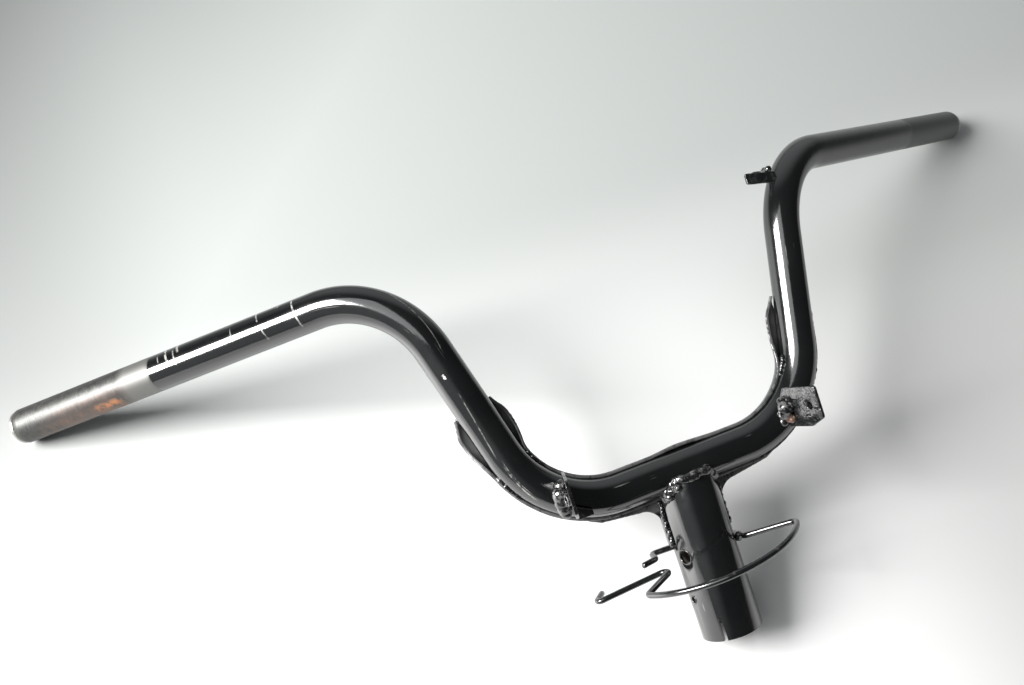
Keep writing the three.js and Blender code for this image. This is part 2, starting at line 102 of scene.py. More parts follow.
class Route:
    """Straight runs joined by arcs, through corners (point, bend radius)."""

    def __init__(self, corners, side):
        self.start = Vector(corners[0][0])
        self.side = Vector(side).normalized()
        self.legs = []
        begin = self.start
        for i in range(1, len(corners)):
            corner, radius = Vector(corners[i][0]), corners[i][1]
            t = (corner - begin).normalized()
            if i == len(corners) - 1:
                self.legs.append((t, None, 0, (corner - begin).length))
                break
            after = (Vector(corners[i + 1][0]) - corner).normalized()
            turn = t.angle(after)
            cut = radius * math.tan(turn / 2)
            self.legs.append((t, None, 0, (corner - begin).length - cut))
            self.legs.append((t, t.cross(after).normalized(), radius, radius * turn))
            begin = corner + after * cut
        self.length = sum(leg[3] for leg in self.legs)

    def at(self, s):
        """The place, the direction and two side directions at s mm from the start."""
        p, u, t = self.start.copy(), self.side.copy(), self.legs[0][0].copy()
        left = s
        for i, (run_t, axis, radius, length) in enumerate(self.legs):
            run = left if i == len(self.legs) - 1 else min(left, length)
            if axis:
                turn = run / radius
                p += axis.cross(t) * radius * (1 - math.cos(turn))
                p += t * radius * math.sin(turn)
                spin = Matrix.Rotation(turn, 3, axis)
                t, u = spin @ t, spin @ u
            else:
                t = run_t.copy()
                p += t * run
            left -= run
            if left <= 0:
                break
        u = (u - t * u.dot(t)).normalized()
        return p, t, u, t.cross(u)

    def stops(self, straight, bent):
        """Distances along the route, at most straight mm apart on runs and bent mm on arcs."""
        out = [0.0]
        for _, axis, _, length in self.legs:
            pieces = max(1, math.ceil(length / (bent if axis else straight)))
            base = out[-1]
            out += [base + length * (i + 1) / pieces for i in range(pieces)]
        return out


ARM_TOP = Vector((BASE_HALF, 0, 0)) + ARM
HALF_BAR = Route(
    [
        ((0, 0, 0), 0),
        ((BASE_HALF, 0, 0), LOWER_BEND_R),
        (ARM_TOP, UPPER_BEND_R),
        (ARM_TOP + GRIP, 0),
    ],
    (0, 1, 0),
)


def bar_at(s):
    """The bar's frame at s mm from its middle: u is the rear, and the last is the low side."""
    p, t, u, v = HALF_BAR.at(abs(s))
    low = -v
    if s < 0:
        for a in (p, u, low):
            a.x = -a.x
        t = Vector((t.x, -t.y, -t.z))
    return p, t, u, low


def on_bar(s, r, angle):
    """The point at radius r round the bar, by its angle from the rear towards the low side."""
    p, _, u, low = bar_at(s)
    return p + u * (r * math.cos(angle)) + low * (r * math.sin(angle))


def on_stem(radius, angle, z):
    """The point at a radius from the stem's axis, by its angle from the front to the left."""
    return Vector((-radius * math.sin(angle), STEM_Y - radius * math.cos(angle), z))


# ---- making pieces ------------------------------------------------------------------------


def new_object(name, verts, faces):
    mesh = bpy.data.meshes.new(name)
    mesh.from_pydata([tuple(v) for v in verts], [], faces)
    bm = bmesh.new()
    bm.from_mesh(mesh)
    bmesh.ops.recalc_face_normals(bm, faces=bm.faces)
    bm.to_mesh(mesh)
    bm.free()
    piece = bpy.data.objects.new(name, mesh)
    bpy.context.scene.collection.objects.link(piece)
    return piece


def loft(rings, closed=True, caps=True):
    """Vertices and faces that join rings of points."""
    n = len(rings[0])
    verts = [p for ring in rings for p in ring]
    faces = []
    for i in range(len(rings) - 1):
        for j in range(n if closed else n - 1):
            a, b = i * n + j, i * n + (j + 1) % n
            faces.append((a, b, b + n, a + n))
    if caps:
        faces.append(tuple(range(n)))
        faces.append(tuple(range(len(verts) - n, len(verts))))
    return verts, faces


def circle(p, u, v, radius, sides):
    """Points round p in the plane of u and v."""
    turns = [2 * math.pi * i / sides for i in range(sides)]
    return [p + u * (radius * math.cos(a)) + v * (radius * math.sin(a)) for a in turns]


def rod(name, start, end, radius, sides=48):
    start, end = Vector(start), Vector(end)
    t = (end - start).normalized()
    u = t.orthogonal().normalized()
    rings = [circle(p, u, t.cross(u), radius, sides) for p in (start, end)]
    return new_object(name, *loft(rings))


def bar_room(name, radius, reach, sides=96):
    """A solid along the bar, from -reach to reach, to cut pieces clear of it."""
    count = int(reach / 3)
    stops = [reach * i / count for i in range(-count, count + 1)]
    rings = []
    for s in stops:
        p, _, u, low = bar_at(s)
        rings.append(circle(p, u, low, radius, sides))
    return new_object(name, *loft(rings))


def apply_modifiers(piece):
    bpy.context.view_layer.update()
    made = bpy.data.meshes.new_from_object(
        piece.evaluated_get(bpy.context.evaluated_depsgraph_get())
    )
    old = piece.data
    piece.modifiers.clear()
    piece.data = made
    bpy.data.meshes.remove(old)


def discard(*pieces):
    for piece in pieces:
        mesh = piece.data
        bpy.data.objects.remove(piece)
        bpy.data.meshes.remove(mesh)


def cut(piece, *cutters):
    for cutter in cutters:
        modifier = piece.modifiers.new("cut", "BOOLEAN")
        modifier.object = cutter
        modifier.operation = "DIFFERENCE"
        modifier.solver = "EXACT"
    apply_modifiers(piece)
    discard(*cutters)


def merged(name, pieces, voxel):
    """One surface around several overlapping closed meshes, remeshed at the voxel size."""
    bm = bmesh.new()
    for piece in pieces:
        bm.from_mesh(piece.data)
    mesh = bpy.data.meshes.new(name)
    bm.to_mesh(mesh)
    bm.free()
    discard(*pieces)
    out = bpy.data.objects.new(name, mesh)
    bpy.context.scene.collection.objects.link(out)
    remesh = out.modifiers.new("remesh", "REMESH")
    remesh.mode = "VOXEL"
    remesh.voxel_size = voxel
    apply_modifiers(out)
    return out


def relax(piece, rounds, share=lambda co: 0.5):
    """Smooths a mesh, each vertex by the share that its place gives."""
    bm = bmesh.new()
    bm.from_mesh(piece.data)
    shares = [share(v.co) for v in bm.verts]
    for _ in range(rounds):
        means = []
        for v in bm.verts:
            near = [e.other_vert(v).co for e in v.link_edges]
            means.append(sum(near, Vector()) / len(near) if near else v.co.copy())
        for v, mean, k in zip(bm.verts, means, shares):
            v.co = v.co.lerp(mean, k)
    bm.to_mesh(piece.data)
    bm.free()


def roughen(piece, size, depth, seed=0.0):
    """Moves each vertex along its normal by a smooth noise."""
    offset = Vector((seed, seed * 1.7, seed * 0.6))
    moves = [
        v.normal * (depth * noise.fractal(v.co / size + offset, 1.0, 2.0, 3))
        for v in piece.data.vertices
    ]
    for v, move in zip(piece.data.vertices, moves):
        v.co += move


def bevel(piece, width, segments=3, angle=35):
    modifier = piece.modifiers.new("bevel", "BEVEL")
    modifier.width = width
    modifier.segments = segments
    modifier.limit_method = "ANGLE"
    modifier.angle_limit = math.radians(angle)
    modifier.use_clamp_overlap = True
    apply_modifiers(piece)


def place(piece, material, slot, *nodes, sharp=40):
    """Lays a finished piece down in the row frame, and puts it in place of CAD nodes."""
    piece.data.transform(TO_ROW)
    piece.data.update()
    piece.data.shade_smooth()
    piece.data.set_sharp_from_angle(angle=math.radians(sharp))
    piece.data.materials.clear()
    piece.data.materials.append(material)
    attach(piece, "root")
    if nodes:
        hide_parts(*nodes)
    return piece


# ---- materials ----------------------------------------------------------------------------


class Shader:
    """A node material with short ways to add nodes."""

    def __init__(self, name):
        self.material = bpy.data.materials.new(name)
        self.material.use_nodes = True
        self.tree = self.material.node_tree
        self.tree.nodes.clear()
        self.out = self.tree.nodes.new("ShaderNodeOutputMaterial")
        self.main = self.tree.nodes.new("ShaderNodeBsdfPrincipled")
        self.main.inputs["IOR"].default_value = 1.95
        self.tree.links.new(self.main.outputs[0], self.out.inputs[0])
        self.place = self.node("ShaderNodeTexCoord").outputs["Object"]

    def node(self, kind, settings=None, **inputs):
        made = self.tree.nodes.new(kind)
        for key, value in (settings or {}).items():
            setattr(made, key, value)
        for key, value in inputs.items():
            self.set(made.inputs[key.replace("_", " ")], value)
        return made

    def set(self, socket, value):
        if isinstance(value, bpy.types.NodeSocket):
            self.tree.links.new(value, socket)
        else:
            socket.default_value = value

    def math(self, operation, a, b=0.0, clamp=False):
        made = self.node("ShaderNodeMath", {"operation": operation, "use_clamp": clamp})
        self.set(made.inputs[0], a)
        self.set(made.inputs[1], b)
        return made.outputs[0]

    def noise(self, size, detail=4.0, rough=0.55, vector=None, warp=0.0):
        """Noise with features of about size metres."""
        made = self.node(
            "ShaderNodeTexNoise", Scale=1.0 / size, Detail=detail, Roughness=rough, Distortion=warp
        )
        self.set(made.inputs["Vector"], vector or self.place)
        return made.outputs["Fac"]

    def stretched(self, scale):
        made = self.node("ShaderNodeMapping", Vector=self.place)
        made.inputs["Scale"].default_value = scale
        return made.outputs[0]

    def ramp(self, value, *stops):
        """Maps a value through (position, grey) stops."""
        made = self.node("ShaderNodeValToRGB", Fac=value)
        ends = made.color_ramp.elements
        while len(ends) > len(stops):
            ends.remove(ends[-1])
        while len(ends) < len(stops):
            ends.new(1.0)
        for end, (position, level) in zip(ends, stops):
            end.position = position
            end.color = (level, level, level, 1)
        return made.outputs[0]

    def mix(self, factor, a, b):
        made = self.node("ShaderNodeMix", {"data_type": "RGBA"})
        self.set(made.inputs[0], factor)
        for socket, value in ((made.inputs[6], a), (made.inputs[7], b)):
            self.set(socket, value if isinstance(value, bpy.types.NodeSocket) else (*value, 1))
        return made.outputs[2]

    def blend(self, factor, a, b):
        made = self.node("ShaderNodeMix", {"data_type": "FLOAT"})
        for socket, value in zip(made.inputs[:4], (factor, None, a, b)):
            if value is not None:
                self.set(socket, value)
        return made.outputs[0]

    def bump(self, height, distance, strength=1.0, below=None):
        made = self.node("ShaderNodeBump", Height=height, Distance=distance, Strength=strength)
        if below is not None:
            self.set(made.inputs["Normal"], below)
        return made.outputs[0]

    def attribute(self, name):
        made = self.node("ShaderNodeAttribute", {"attribute_name": name})
        return made.outputs["Fac"]

    def finish(self, **inputs):
        for key, value in inputs.items():
            if isinstance(value, tuple):
                value = (*value, 1)
            self.set(self.main.inputs[key.replace("_", " ")], value)
        return self.material


PAINT = (0.0038, 0.0043, 0.0046)
DUSTY = (0.015, 0.016, 0.016)
CHIP = (0.5, 0.49, 0.47)
RUST = (0.33, 0.115, 0.03)


def hairlines(m, field, level):
    """Straight fine scratches, in patches, from a noise drawn out along them."""
    lines = m.ramp(field, (level, 0), (level + 0.03, 1))
    patches = m.ramp(m.noise(0.03, 3.0), (0.5, 0), (0.66, 1))
    return m.math("MULTIPLY", lines, patches)


def paint_parts(m, gloss, dust):
    """Colour, roughness and normal of black gloss paint with dust, specks and orange peel."""
    clouds = m.noise(0.05, 5.0, 0.6)
    specks = m.ramp(m.noise(0.0011, 2.0, 0.5), (0.71, 0), (0.76, 1))
    dusty = m.math("MULTIPLY", m.ramp(clouds, (0.42, 0), (0.75, 1)), dust)
    dusty = m.math("ADD", dusty, m.math("MULTIPLY", specks, 0.4), True)
    color = m.mix(dusty, PAINT, DUSTY)
    rough = m.blend(m.ramp(m.noise(0.012, 5.0, 0.6), (0.35, 0), (0.75, 1)), gloss, gloss + 0.08)
    rough = m.blend(dusty, rough, 0.32)
    normal = m.bump(m.noise(0.0035, 2.0, 0.5), 0.00006, 0.5)
    return color, rough, normal


def lip_paint():
    """Gloss paint on the raised lips of the stem's holes."""
    m = Shader("lip_black_paint")
    color, rough, normal = paint_parts(m, 0.08, 0.25)
    field = m.noise(0.0009, 2.0, 0.5, m.stretched((1, 0.03, 0.04)))
    marks = m.math("MULTIPLY", hairlines(m, field, 0.68), 0.3)
    return m.finish(
        Base_Color=m.mix(marks, color, CHIP),
        Roughness=m.blend(marks, rough, 0.4),
        Metallic=m.math("MULTIPLY", marks, 0.5),
        Normal=normal,
    )


def bar_paint():
    """The bar's paint, worn to steel on the left grip and dull on the right one."""
    m = Shader("bar_black_paint")
    along = m.attribute("along")
    rear = m.attribute("rear")
    low = m.attribute("low")
    color, rough, normal = paint_parts(m, 0.085, 0.25)

    def window(value, start, end, soft):
        """1 between start and end, and 0 outside them."""
        steps = [
            m.node("ShaderNodeMapRange", Value=value, From_Min=at - soft, From_Max=at + soft)
            for at in (start, end)
        ]
        return m.math("SUBTRACT", steps[0].outputs[0], steps[1].outputs[0], True)

    def around(stretch, turn):
        """Coordinates for marks that follow the tube (low stretch) or run round it (high)."""
        return m.node(
            "ShaderNodeCombineXYZ",
            X=m.math("MULTIPLY", along, stretch),
            Y=m.math("MULTIPLY", rear, turn),
            Z=m.math("MULTIPLY", low, turn),
        ).outputs[0]

    def product(*values):
        out = values[0]
        for value in values[1:]:
            out = m.math("MULTIPLY", out, value)
        return out

    brushed = m.noise(0.35, 5.0, 0.65, around(1.1, 1.0))
    streaky = m.noise(0.3, 5.0, 0.65, around(0.05, 1.0))
    blotch = m.noise(0.014, 5.0, 0.6)
    broken = m.ramp(m.noise(0.0035, 3.0, 0.6), (0.42, 0.1), (0.56, 1))

    # Hairlines along the tube
    marks = hairlines(m, m.noise(1.0, 2.0, 0.5, around(0.03, 11.0)), 0.69)
    marks = m.math("MULTIPLY", marks, 0.35)

    # Rings and short arcs that the grip and the lever clamps have cut: place along the tube,
    # half width and slope in mm, the levels between which they run, and strength
    for at, width, slope, start, end, depth in (
        (-321, 0.3, 1.0, -0.5, 0.35, 0.5),
        (-302, 0.45, 3.0, -0.95, -0.2, 0.7),
        (-302, 0.45, 3.0, 0.3, 0.8, 0.9),
        (-294, 0.4, -7.0, -0.95, -0.6, 0.6),
        (-278.5, 0.5, 2.0, -0.9, 0.8, 0.9),
        (-372, 0.35, 2.0, -0.6, -0.1, 0.5),
        (-366, 0.7, 3.0, -0.75, 0.2, 0.8),
        (-361, 0.5, 2.0, -0.5, 0.4, 0.6),
        (-357.5, 0.8, 3.0, -0.9, -0.3, 0.7),
    ):
        skew = m.math("SUBTRACT", m.math("SUBTRACT", along, at), m.math("MULTIPLY", low, slope))
        line = m.math("LESS_THAN", m.math("ABSOLUTE", skew), width)
        arc = product(line, window(low, start, end, 0.05), broken)
        marks = m.math("MAXIMUM", marks, m.math("MULTIPLY", arc, depth))

    # Long scuffs down the left arm: place along the tube, level and slope there, ends, half
    # width and strength
    for at, level, slope, start, end, width, depth in (
        (-140, 0.38, 0.006, -160, -122, 0.03, 0.3),
        (-212, -0.6, 0.0135, -236, -188, 0.03, 0.3),
        (-102, 0.57, 0.011, -112, -92, 0.035, 0.5),
        (-104, 0.46, 0.009, -116, -95, 0.02, 0.4),
    ):
        line = m.math("SUBTRACT", low, m.math("MULTIPLY", m.math("SUBTRACT", along, at), slope))
        line = m.math("LESS_THAN", m.math("ABSOLUTE", m.math("SUBTRACT", line, level)), width)
        scuff = product(line, window(along, start, end, 3), broken)
        marks = m.math("MAXIMUM", marks, m.math("MULTIPLY", scuff, depth))

    # One chip on the left arm
    chip = product(window(along, -177.5, -171.5, 2), window(low, 0.3, 0.46, 0.12))
    chip = m.math("GREATER_THAN", m.math("MULTIPLY", chip, m.noise(0.0025, 4.0, 0.7)), 0.3)
    marks = m.math("MAXIMUM", marks, chip)
    marks = m.math("MULTIPLY", marks, m.math("LESS_THAN", rear, 0.3))
    color = m.mix(marks, color, CHIP)
    rough = m.blend(marks, rough, 0.4)
    metal = m.math("MULTIPLY", marks, 0.4)

    # The dull right grip, greyer and rougher towards its end
    ragged = m.math("ADD", along, m.math("MULTIPLY", m.math("SUBTRACT", streaky, 0.5), 50))
    dull = m.math("MULTIPLY", window(ragged, 245, 700, 30), m.blend(blotch, 0.6, 1.1))
    patchy = m.math("ADD", along, m.math("MULTIPLY", m.math("SUBTRACT", blotch, 0.5), 12))
    far = window(patchy, 397, 700, 3)
    color = m.mix(m.math("MULTIPLY", dull, 0.35), color, (0.03, 0.034, 0.033))
    color = m.mix(m.math("MULTIPLY", far, 0.6), color, (0.042, 0.046, 0.044))
    rough = m.blend(dull, rough, 0.26)
    rough = m.blend(far, rough, 0.42)

    # Bare steel on the left grip: clean by the paint, smeared dark beyond, with painted shade
    # darkening the upper side, and a little rust
    edge = m.math("ADD", along, m.math("MULTIPLY", m.math("SUBTRACT", blotch, 0.5), 2.5))
    bare = window(edge, -900, -380.5, 0.5)
    clean = window(edge, -401, -380, 3)
    steel_color = m.mix(m.ramp(brushed, (0.35, 0), (0.7, 1)), (0.05, 0.05, 0.048), (0.13, 0.128, 0.123))
    smear_and_top_shade = m.ramp(streaky, (0.44, 0), (0.62, 1))
    # Painted shade: the dark smear is full strength on the upper side and about a third as strong
    # on the low side.
    smear_and_top_shade = m.math("MULTIPLY", smear_and_top_shade, m.blend(window(low, -2, 0.1, 0.5), 0.35, 1.0))
    steel_color = m.mix(m.math("MULTIPLY", smear_and_top_shade, 0.75), steel_color, (0.035, 0.037, 0.036))
    steel_color = m.mix(clean, steel_color, (0.18, 0.178, 0.171))
    pink = product(window(along, -458, -400, 8), window(low, 0.35, 1.2, 0.15))
    pink = m.math("MULTIPLY", pink, m.ramp(blotch, (0.35, 0.2), (0.6, 0.8)))
    steel_color = m.mix(m.math("MULTIPLY", pink, 0.6), steel_color, (0.2, 0.135, 0.115))
    color = m.mix(bare, color, steel_color)
    metal = m.blend(bare, metal, 0.75)
    fresh = m.blend(m.ramp(brushed, (0.3, 0), (0.7, 1)), 0.4, 0.52)
    rough = m.blend(bare, rough, m.blend(clean, fresh, 0.55))
    fine = m.noise(0.004, 4.0, 0.6)
    spots = product(window(along, -424, -406, 3), window(low, 0.78, 1.0, 0.08))
    spots = m.math("MULTIPLY", spots, m.ramp(fine, (0.4, 0), (0.54, 1)))
    thin = product(window(along, -470, -424, 6), window(low, 0.8, 1.2, 0.1))
    thin = m.math("MULTIPLY", thin, m.ramp(fine, (0.4, 0), (0.75, 0.3)))
    rusty = m.math("MAXIMUM", spots, thin)
    color = m.mix(rusty, color, RUST)
    rough = m.blend(rusty, rough, 0.8)
    metal = m.blend(rusty, metal, 0.0)
    height = m.math("MULTIPLY", bare, m.math("SUBTRACT", m.math("MULTIPLY", brushed, 0.4), 1.0))
    height = m.math("SUBTRACT", height, m.math("MULTIPLY", marks, 0.6))
    normal = m.bump(height, 0.0001, 0.5, normal)
    return m.finish(Base_Color=color, Roughness=rough, Metallic=metal, Normal=normal)


def stem_paint():
    """Gloss paint outside, and a dull unpainted bore."""
    m = Shader("stem_black_paint")
    color, rough, normal = paint_parts(m, 0.08, 0.25)
    marks = hairlines(m, m.noise(0.0009, 2.0, 0.5, m.stretched((1, 0.03, 0.04))), 0.68)
    color = m.mix(m.math("MULTIPLY", marks, 0.3), color, CHIP)
    stain = m.ramp(m.noise(0.006, 5.0, 0.6), (0.35, 0), (0.7, 1))
    bore = m.mix(stain, (0.2, 0.19, 0.18), (0.09, 0.075, 0.06))
    inner = m.attribute("inner")
    return m.finish(
        Base_Color=m.mix(inner, color, bore),
        Roughness=m.blend(inner, rough, 0.5),
        Metallic=m.math("MULTIPLY", inner, 0.5),
        Normal=normal,
    )


def sheet_paint():
    """The gusset's paint, rubbed along its cut edges and dull on the side that faces the bar."""
    m = Shader("gusset_black_paint")
    color, rough, normal = paint_parts(m, 0.12, 0.35)
    ragged = m.ramp(m.noise(0.006, 4.0, 0.6), (0.3, 0.25), (0.6, 1))
    edge = m.math("MULTIPLY", m.attribute("edge"), ragged)
    inside = m.attribute("inside")
    color = m.mix(m.math("MULTIPLY", inside, 0.8), color, (0.07, 0.072, 0.075))
    color = m.mix(m.math("MULTIPLY", edge, 0.6), color, (0.3, 0.3, 0.3))
    rough = m.blend(m.math("MAXIMUM", edge, inside), rough, 0.36)
    return m.finish(
        Base_Color=color, Roughness=rough, Metallic=m.math("MULTIPLY", edge, 0.4), Normal=normal
    )


def hammered_paint():
    """Thick gloss paint over a dented and rubbed plate."""
    m = Shader("bracket_black_paint")
    color, rough, _ = paint_parts(m, 0.13, 0.6)
    dents = m.noise(0.007, 2.5, 0.5, None, 0.9)
    rubbed = m.ramp(m.noise(0.0032, 4.0, 0.65), (0.5, 0), (0.7, 1))
    color = m.mix(m.math("MULTIPLY", rubbed, 0.35), color, (0.14, 0.138, 0.14))
    normal = m.bump(dents, 0.0014, 0.9)
    normal = m.bump(m.noise(0.0015, 2.0), 0.00025, 0.6, normal)
    return m.finish(
        Base_Color=color,
        Roughness=m.blend(rubbed, rough, 0.3),
        Metallic=m.math("MULTIPLY", rubbed, 0.5),
        Normal=normal,
    )


def weld_paint(name, bright, copper=0.0):
    """Paint over rippled weld metal, rubbed bright or scorched copper brown in places."""
    m = Shader(name)
    color, rough, _ = paint_parts(m, 0.1, 0.35)
    bare = m.math("MULTIPLY", m.ramp(m.noise(0.0028, 4.0, 0.6), (0.52, 0), (0.62, 1)), bright)
    brown = m.math("MULTIPLY", m.ramp(m.noise(0.006, 3.0, 0.6), (0.42, 0), (0.52, 1)), copper)
    color = m.mix(bare, color, (0.4, 0.39, 0.38))
    color = m.mix(brown, color, (0.2, 0.115, 0.085))
    normal = m.bump(m.noise(0.0022, 2.0, 0.5), 0.00018, 0.6)
    return m.finish(
        Base_Color=color,
        Roughness=rough,
        Metallic=m.math("ADD", bare, m.math("MULTIPLY", brown, 0.3), True),
        Normal=normal,
    )


def wire_paint():
    """Gloss paint on the bent wire, worn thin in places."""
    m = Shader("wire_black_paint")
    color, rough, normal = paint_parts(m, 0.13, 0.25)
    worn = m.ramp(m.noise(0.007, 4.0, 0.65), (0.6, 0), (0.68, 1))
    color = m.mix(m.math("MULTIPLY", worn, 0.35), color, (0.2, 0.18, 0.19))
    return m.finish(
        Base_Color=color, Roughness=rough, Metallic=m.math("MULTIPLY", worn, 0.4), Normal=normal
    )


def turned_steel():
    """Bare turned steel with brown stains."""
    m = Shader("turned_steel")
    stain = m.ramp(m.noise(0.004, 5.0, 0.65), (0.4, 0), (0.7, 1))
    fine = m.noise(0.0008, 3.0)
    color = m.mix(stain, (0.6, 0.59, 0.57), (0.3, 0.27, 0.24))
    return m.finish(
        Base_Color=color,
        Roughness=m.blend(fine, 0.25, 0.45),
        Metallic=0.95,
        Normal=m.bump(fine, 0.00008, 0.5),
    )


LIP_PAINT = lip_paint()
STEM_PAINT = stem_paint()
SHEET_PAINT = sheet_paint()
PLATE = hammered_paint()
WELD = weld_paint("weld_black_paint", 0.3)
BRIGHT_WELD = weld_paint("weld_rubbed_paint", 0.4)
DARK_WELD = weld_paint("weld_dark_paint", 0.06)
SCORCHED_WELD = weld_paint("weld_scorched_paint", 0.3, 0.8)
WIRE = wire_paint()
TURNED = turned_steel()

# ---- the bar -------------------------------------------------------------------------------


def handlebar():
    """The tube, with each vertex's place along it and round it kept for the paint."""
    sides, chamfer, bore_depth = 96, 0.5, 16
    reach = HALF_BAR.length - END_FLANGE
    half = [s for s in HALF_BAR.stops(3.0, 1.6) if s < reach - 1]
    half += [reach - 0.7, reach]
    stops = [-s for s in reversed(half[1:])] + half
    rings = []
    facts = []
    for i, s in enumerate(stops):
        p, _, u, low = bar_at(s)
        at_end = i in (0, len(stops) - 1)
        rings.append(circle(p, u, low, BAR_R - (chamfer if at_end else 0.0), sides))
        facts += [s] * sides
    # The wall turns in at each end and runs back along the bore.
    walls = []
    for s in (stops[0] + bore_depth, stops[0], stops[-1], stops[-1] - bore_depth):
        p, _, u, low = bar_at(s)
        walls.append(circle(p, u, low, BAR_R - BAR_WALL, sides))
    rings = walls[:2] + rings + walls[2:]
    facts = [stops[0]] * 2 * sides + facts + [stops[-1]] * 2 * sides
    piece = new_object("handlebar_tube_painted", *loft(rings, caps=False))
    mesh = piece.data
    around = [2 * math.pi * j / sides for j in range(sides)] * len(rings)
    for name, values in (
        ("along", facts),
        ("rear", [math.cos(a) for a in around]),
        ("low", [math.sin(a) for a in around]),
    ):
        mesh.attributes.new(name, "FLOAT", "POINT").data.foreach_set("value", values)
    return place(piece, bar_paint(), "bar_paint", "handlebar_tube", sharp=50)


# ---- the stem ------------------------------------------------------------------------------


def on_axis(z):
    return (0, STEM_Y, z)


def stem():
    """The clamp tube: bored, notched over the bar, slit, and drilled for the bolt and the pilot."""
    sides = 128
    body = rod("stem_tube_painted", on_axis(STEM_END), on_axis(STEM_TOP + 3), STEM_R, sides)
    bore = rod("bore", on_axis(STEM_END - 1), on_axis(STEM_TOP + 5), STEM_BORE_R, sides)
    slit = rod("slit", (0, 0, 0), (0, 0, 28), 1.7, 4)
    slit.data.transform(Matrix.Scale(6, 4, (0, 1, 0)))
    turn = Matrix.Rotation(-SLIT_ANGLE, 4, "Z")
    slit.data.transform(
        Matrix.Translation((0, STEM_Y, STEM_END - 14)) @ turn @ Matrix.Translation((0, -STEM_R, 0))
    )
    across = on_stem(STEM_R + 5, BOLT_ANGLE, BOLT_Z)
    beyond = on_stem(STEM_R + 5, BOLT_ANGLE + math.pi, BOLT_Z)
    pilot = [on_stem(r, PILOT_ANGLE, PILOT_Z) for r in (10, 25)]
    cut(
        body,
        bore,
        bar_room("saddle", BAR_R - 0.1, 60),
        rod("bolt_hole", across, beyond, BOLT_HOLE_R),
        rod("pilot_hole", *pilot, PILOT_HOLE_R, 32),
        slit,
    )
    bevel(body, 0.45, 2, 40)
    inner = [
        1.0 if math.hypot(v.co.x, v.co.y - STEM_Y) < STEM_BORE_R + 0.3 else 0.0
        for v in body.data.vertices
    ]
    body.data.attributes.new("inner", "FLOAT", "POINT").data.foreach_set("value", inner)
    return place(body, STEM_PAINT, "stem_paint", "stem_tube", sharp=35)


def ring_lump(name, centre, axis, radius, thick, sides=48):
    """A soft raised lip around a hole."""
    u = axis.orthogonal().normalized()
    v = axis.cross(u)
    rings = []
    for i in range(sides + 1):
        a = 2 * math.pi * i / sides
        out = u * math.cos(a) + v * math.sin(a)
        rings.append(circle(centre + out * radius, out, axis, thick, 12))
    return new_object(name, *loft(rings, caps=False))


def hole_lips():
    """A raised lip round each hole, laid on the stem's curved face."""
    pieces = []
    for angle, z, radius, thick in (
        (BOLT_ANGLE, BOLT_Z, 4.4, 0.6),
        (PILOT_ANGLE, PILOT_Z, 2.3, 0.4),
    ):
        axis = (on_stem(1, angle, 0) - on_stem(0, angle, 0)).normalized()
        side = axis.cross(Vector((0, 0, 1)))
        rings = []
        for i in range(65):
            a = 2 * math.pi * i / 64
            across, up = radius * math.cos(a), radius * math.sin(a)
            depth = math.sqrt(STEM_R**2 - across**2) - 0.1
            p = on_stem(0, 0, z) + axis * depth + side * across + Vector((0, 0, up))
            out = (side * math.cos(a) + Vector((0, 0, math.sin(a)))).normalized()
            rings.append(circle(p, out, axis, thick, 10))
        pieces.append(new_object("lip", *loft(rings, caps=False)))
    lips = merged("stem_hole_lips", pieces, 0.2)
    roughen(lips, 3, 0.15)
    return place(lips, LIP_PAINT, "stem_paint", sharp=80)


# ---- the gusset ----------------------------------------------------------------------------


def hump(x, middle, half):
    """A smooth hill: 1 at the middle, and 0 from half away."""
    off = abs(x - middle) / half
    return math.cos(math.pi / 2 * off) ** 2 if off < 1 else 0.0


def ear_run(s):
    """How far the ear runs in from its crest, which is further on the right arm."""
    return 26.0 if s < 0 else 44.0


def stand_off(s, a):
    """How far the sheet's edge stands off the bar: at the ears, and at the upper middle."""
    edge = smoothstep(abs(a), math.radians(45), math.radians(80))
    half = ear_run(s) if abs(s) < EAR_AT else 17.0
    crown = 1.2 * hump(s, 3, 24) if a < 0 else 0.0
    return edge * (5.0 * hump(abs(s), EAR_AT, half) + crown)


def gusset_band():
    """The sheet that wraps the bar's rear from arm to arm."""
    across, along = 56, 200
    rings = []
    for i in range(2 * along + 1):
        f = i / along - 1
        ear = smoothstep(abs(f) * GUSSET_REACH, EAR_AT - ear_run(f), EAR_AT)
        wrap = math.radians(lerp(91, 75, ear))
        walls = []
        for off in (SHEET_GAP + SHEET, SHEET_GAP):
            wall = []
            for j in range(across + 1):
                a = wrap * (2 * j / across - 1)
                s = f * (GUSSET_REACH - 16 * math.cos(a) ** 2)
                wall.append(on_bar(s, BAR_R + off + stand_off(s, a), a))
            walls.append(wall)
        rings.append(walls[0] + walls[1][::-1])
    return new_object("band", *loft(rings))


def extruded(name, outline, low, high, place_at):
    """A plate: the outline at the depths low and high, put in place by place_at."""
    rings = [[place_at(a, b, depth) for a, b in outline] for depth in (low, high)]
    return new_object(name, *loft(rings))


def gusset_web(side):
    """The flat web in the corner between the bar and the stem."""
    inner, corner, under = STEM_R - 2, STEM_R + SHEET, -17.3
    radius = 11.0
    outline = [(inner, under / 2), (64, -5.5), (68, -7.5), (62, -11.2), (56, -14)]
    for i in range(13):
        a = math.pi / 2 * (1 + i / 12)
        outline.append(
            (corner + radius + radius * math.cos(a), under - radius + radius * math.sin(a))
        )
    outline.append((inner, under - radius))
    return extruded("web", outline, 3.8, 3.8 + SHEET, lambda x, z, y: Vector((side * x, y, z)))


